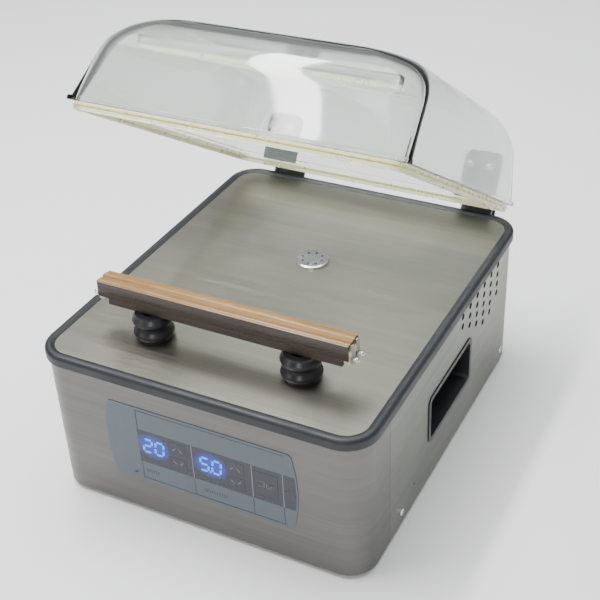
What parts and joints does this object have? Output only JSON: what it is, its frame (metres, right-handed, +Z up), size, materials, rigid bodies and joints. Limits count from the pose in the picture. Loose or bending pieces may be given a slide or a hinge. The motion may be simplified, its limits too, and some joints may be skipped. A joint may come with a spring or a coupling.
{
  "type": "chamber vacuum sealer",
  "caption": "Tabletop chamber vacuum sealer with a clear hinged dome lid, a lifting heated seal bar, a membrane key panel and side handle recesses.",
  "frame": {"origin": "centre of the whole footprint, hinges included, on the plane the rubber feet stand on", "axes": "+Z up, -Y out of the front control panel, +X to the right seen from the front"},
  "size_m": [0.316, 0.3992, 0.3996],
  "materials": {
    "brushed_stainless": "brushed",
    "brushed_front": "brushed",
    "trim_rubber": "satin",
    "clear_acrylic": "gloss",
    "silicone": "satin",
    "black_rubber": "matte",
    "black_plastic": "matte",
    "polished_steel": "polished",
    "overlay_film": "satin",
    "dark_film": "gloss",
    "lit_digits": "emissive",
    "circuit_board": "satin",
    "ptfe_tape": "satin",
    "cream_insulator": "matte",
    "dark_base": "satin",
    "heater_alloy": "satin",
    "black_steel": "satin",
    "spring_steel": "satin",
    "cast_pump": "cast",
    "motor_paint": "satin",
    "fan_plastic": "satin",
    "cylinder_alloy": "satin",
    "core_steel": "satin",
    "coil_tape": "satin",
    "red_rocker": "gloss"
  },
  "bodies": {
    "housing": {"bottom_tray": "brushed_stainless", "rubber_feet": "black_rubber", "foot_screws": "polished_steel", "front_housing": "brushed_front", "side_panel_right": "brushed_stainless", "side_panel_left": "brushed_stainless", "rear_panel": "brushed_stainless", "handle_recess_right": "black_plastic", "handle_recess_left": "black_plastic", "panel_screws": "polished_steel", "worktop": "brushed_stainless", "edge_trim": "trim_rubber", "suction_port": "polished_steel", "control_overlay": "overlay_film", "display_window": "dark_film", "display_digits": "lit_digits", "control_board": "circuit_board", "power_inlet": "black_plastic", "switch_frame": "black_plastic", "fuse_holder": "black_plastic", "lift_cylinders": "cylinder_alloy", "lift_bellows": "black_rubber", "hinge_brackets": "black_steel", "hinge_pins": "polished_steel", "lid_springs": "spring_steel", "pump_block": "cast_pump", "motor_housing": "motor_paint", "fan_cowl": "black_plastic", "pump_dampers": "black_rubber", "exhaust_filter": "black_plastic", "vacuum_hose": "black_rubber", "valve_block": "cylinder_alloy", "valve_coils": "black_plastic", "transformer_core": "core_steel", "transformer_coil": "coil_tape"},
    "lid": {"lid_dome": "clear_acrylic", "lid_gasket": "silicone", "hinge_plates": "brushed_stainless", "hinge_arms": "black_steel", "plate_bolts": "polished_steel", "cap_nuts": "polished_steel", "counter_rail": "clear_acrylic", "counter_strip": "silicone"},
    "seal_bar": {"bar_channel": "ptfe_tape", "bar_insulator": "cream_insulator", "bar_base": "dark_base", "bar_terminals": "polished_steel", "heating_wires": "heater_alloy", "lift_rods": "polished_steel"},
    "rotor": {"pump_rotor": "spring_steel", "cooling_fan": "fan_plastic"},
    "time_up_key": {"key_time_up": "dark_film"},
    "time_down_key": {"key_time_down": "dark_film"},
    "seal_up_key": {"key_seal_up": "dark_film"},
    "seal_down_key": {"key_seal_down": "dark_film"},
    "stop_key": {"key_stop": "dark_film"},
    "power_rocker": {"rocker_switch": "red_rocker"},
    "vacuum_plunger": {"plunger_vacuum": "polished_steel"},
    "vent_plunger": {"plunger_vent": "polished_steel"},
    "seal_plunger": {"plunger_seal": "polished_steel"}
  },
  "joints": [
    {"name": "lid_hinge", "type": "hinge", "parent": "housing", "child": "lid", "pos_m": [0, 0.18, 0.137], "axis": [-1, 0, 0], "range_deg": [-33, 0], "stiffness_Nm_per_rad": 1.2, "springref_deg": 171.89, "deforming": ["lid_springs"]},
    {"name": "bar_lift", "type": "slide", "parent": "housing", "child": "seal_bar", "axis": [0, 0, 1], "range_m": [0, 0.012], "deforming": ["lift_bellows"]},
    {"name": "time_up_press", "type": "slide", "parent": "housing", "child": "time_up_key", "axis": [0, 1, 0], "range_m": [0, 0.0005], "stiffness_N_per_m": 400, "springref_m": -0.001},
    {"name": "time_down_press", "type": "slide", "parent": "housing", "child": "time_down_key", "axis": [0, 1, 0], "range_m": [0, 0.0005], "stiffness_N_per_m": 400, "springref_m": -0.001},
    {"name": "seal_up_press", "type": "slide", "parent": "housing", "child": "seal_up_key", "axis": [0, 1, 0], "range_m": [0, 0.0005], "stiffness_N_per_m": 400, "springref_m": -0.001},
    {"name": "seal_down_press", "type": "slide", "parent": "housing", "child": "seal_down_key", "axis": [0, 1, 0], "range_m": [0, 0.0005], "stiffness_N_per_m": 400, "springref_m": -0.001},
    {"name": "stop_press", "type": "slide", "parent": "housing", "child": "stop_key", "axis": [0, 1, 0], "range_m": [0, 0.0005], "stiffness_N_per_m": 400, "springref_m": -0.001},
    {"name": "power_rock", "type": "hinge", "parent": "housing", "child": "power_rocker", "pos_m": [-0.082, 0.1715, 0.088], "axis": [1, 0, 0], "range_deg": [0, 14]},
    {"name": "pump_spin", "type": "hinge", "parent": "housing", "child": "rotor", "pos_m": [0, 0.101, 0.074], "axis": [1, 0, 0], "continuous": true},
    {"name": "vacuum_valve", "type": "slide", "parent": "housing", "child": "vacuum_plunger", "axis": [0, 0, 1], "range_m": [0, 0.003], "stiffness_N_per_m": 300, "springref_m": -0.002},
    {"name": "vent_valve", "type": "slide", "parent": "housing", "child": "vent_plunger", "axis": [0, 0, 1], "range_m": [0, 0.003], "stiffness_N_per_m": 300, "springref_m": -0.002},
    {"name": "seal_valve", "type": "slide", "parent": "housing", "child": "seal_plunger", "axis": [0, 0, 1], "range_m": [0, 0.003], "stiffness_N_per_m": 300, "springref_m": -0.002}
  ]
}
